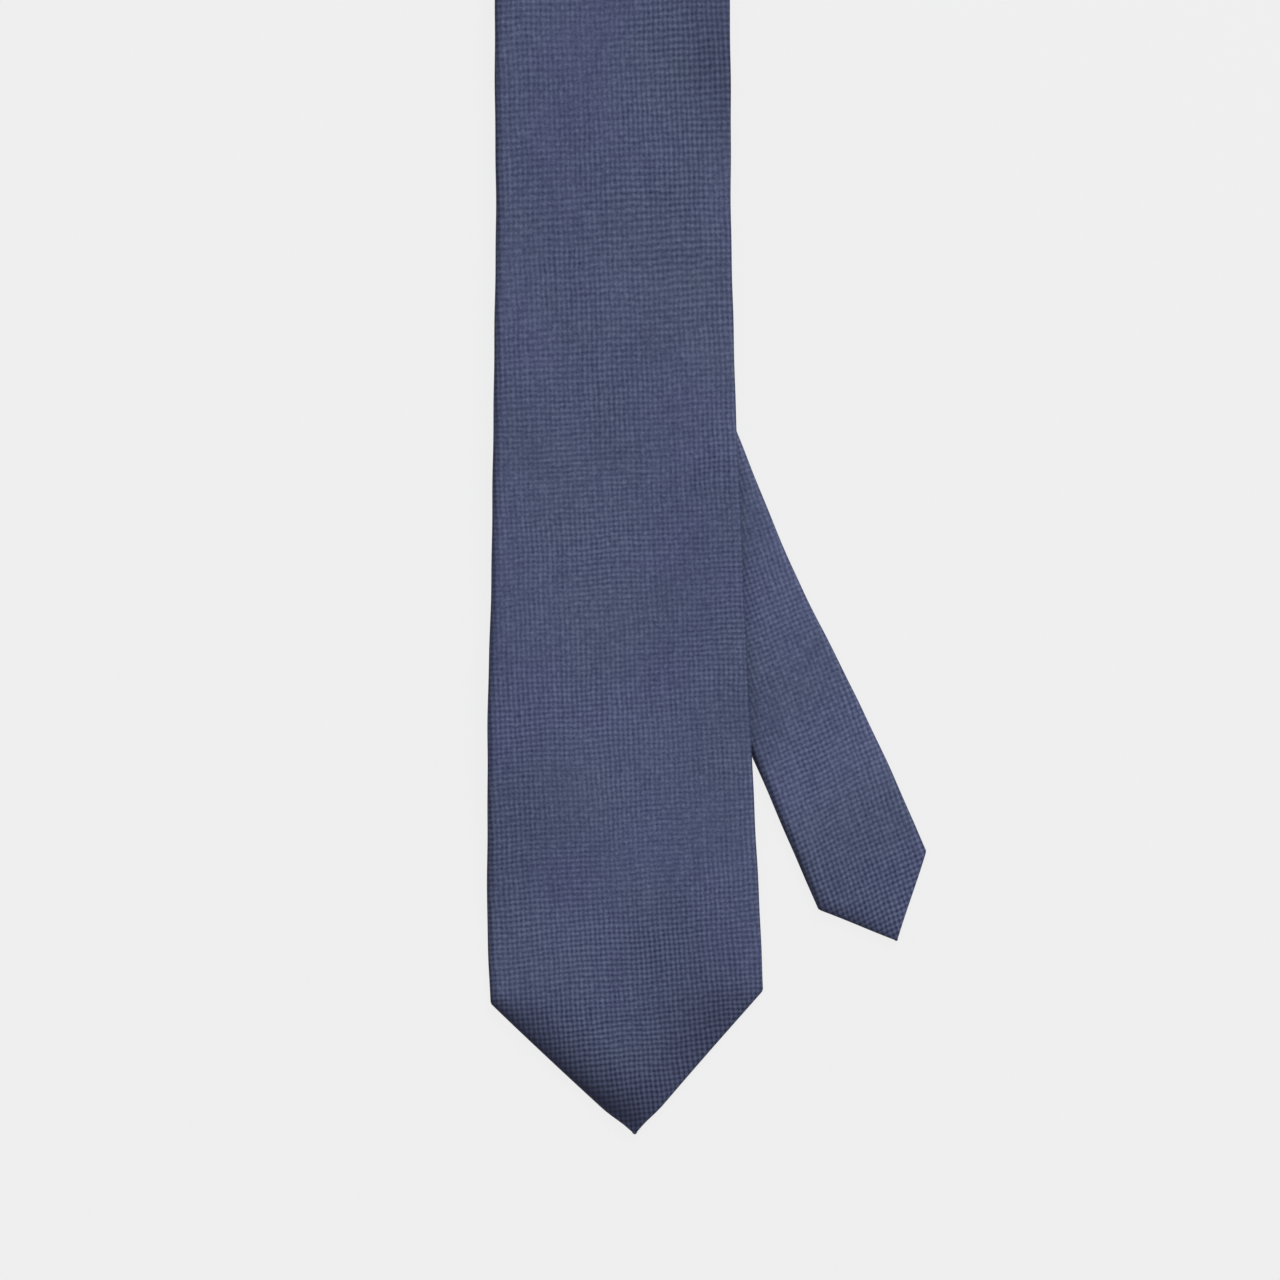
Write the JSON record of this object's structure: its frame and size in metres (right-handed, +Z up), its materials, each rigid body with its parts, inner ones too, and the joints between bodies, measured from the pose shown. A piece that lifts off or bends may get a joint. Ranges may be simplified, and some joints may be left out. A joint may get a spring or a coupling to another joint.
{
  "type": "necktie",
  "caption": "Wide navy hopsack-weave necktie lying face up, its wide blade over its narrow tail, the neck folded twice on the diagonal.",
  "frame": {"origin": "middle of the whole tie's footprint, on the surface that it lies on", "axes": "+Y along the blade from its tip towards the neck, +Z up out of the surface, the good face up, +X to the side where the tail shows"},
  "size_m": [0.1626, 0.753, 0.0087],
  "materials": {
    "hopsack_silk": "matte basket weave with a faint silk sheen",
    "wool_interlining": "matte",
    "satin_tipping": "satin",
    "sewing_thread": "silky",
    "woven_label": "satin"
  },
  "bodies": {
    "tail": {"neck_rear_shell": "hopsack_silk", "tail_shell": "hopsack_silk", "rear_fold_shell": "hopsack_silk", "tail_swing_shell": "hopsack_silk", "tail_interlining": "wool_interlining", "rear_fold_interlining": "wool_interlining", "tail_swing_interlining": "wool_interlining", "tail_stitches": "sewing_thread", "rear_join_stitches": "sewing_thread"},
    "tail_lower": {"tail_lower_shell": "hopsack_silk", "tail_bend_shell": "hopsack_silk", "tail_lower_interlining": "wool_interlining", "tail_bend_interlining": "wool_interlining", "tail_lower_stitches": "sewing_thread"},
    "tail_end": {"tail_end_shell": "hopsack_silk", "tail_end_interlining": "wool_interlining", "tail_tipping": "satin_tipping", "tail_bar_tack": "sewing_thread"},
    "neck": {"neck_shell": "hopsack_silk", "front_fold_shell": "hopsack_silk", "neck_interlining": "wool_interlining", "front_fold_interlining": "wool_interlining", "neck_stitches": "sewing_thread"},
    "blade": {"blade_shell": "hopsack_silk", "neck_front_shell": "hopsack_silk", "blade_bend_shell": "hopsack_silk", "blade_interlining": "wool_interlining", "blade_bend_interlining": "wool_interlining", "blade_stitches": "sewing_thread", "front_join_stitches": "sewing_thread", "keeper_loop": "hopsack_silk", "keeper_tacks": "sewing_thread", "care_label": "woven_label", "label_stitches": "sewing_thread"},
    "blade_end": {"blade_end_shell": "hopsack_silk", "blade_end_interlining": "wool_interlining", "blade_tipping": "satin_tipping", "blade_end_stitches": "sewing_thread", "blade_bar_tack": "sewing_thread"}
  },
  "joints": [
    {"name": "rear_neck_fold", "type": "hinge", "parent": "tail", "child": "neck", "pos_m": [-0.06475, 0.3585, 0.0028], "axis": [-0.6685, -0.7437, 0], "range_deg": [0, 178], "deforming": ["rear_fold_shell", "rear_fold_interlining"]},
    {"name": "front_neck_fold", "type": "hinge", "parent": "neck", "child": "blade", "pos_m": [-0.0111, 0.3585, 0.0059], "axis": [-0.7071, 0.7071, 0], "range_deg": [0, 180], "deforming": ["front_fold_shell", "front_fold_interlining"]},
    {"name": "blade_bend", "type": "hinge", "parent": "blade", "child": "blade_end", "pos_m": [-0.01004, -0.1865, 0.0067], "axis": [0.9999, 0.0106, 0], "range_deg": [-120, 0], "deforming": ["blade_bend_shell", "blade_bend_interlining"]},
    {"name": "tail_swing", "type": "hinge", "parent": "tail", "child": "tail_lower", "pos_m": [-0.00902, -0.12141, 0], "axis": [0, 0, 1], "range_deg": [0, 20], "deforming": ["tail_swing_shell", "tail_swing_interlining"]},
    {"name": "tail_bend", "type": "hinge", "parent": "tail_lower", "child": "tail_end", "pos_m": [0.05076, -0.26998, 0.0025], "axis": [0.9171, 0.3987, 0], "range_deg": [-120, 0], "deforming": ["tail_bend_shell", "tail_bend_interlining"]}
  ]
}
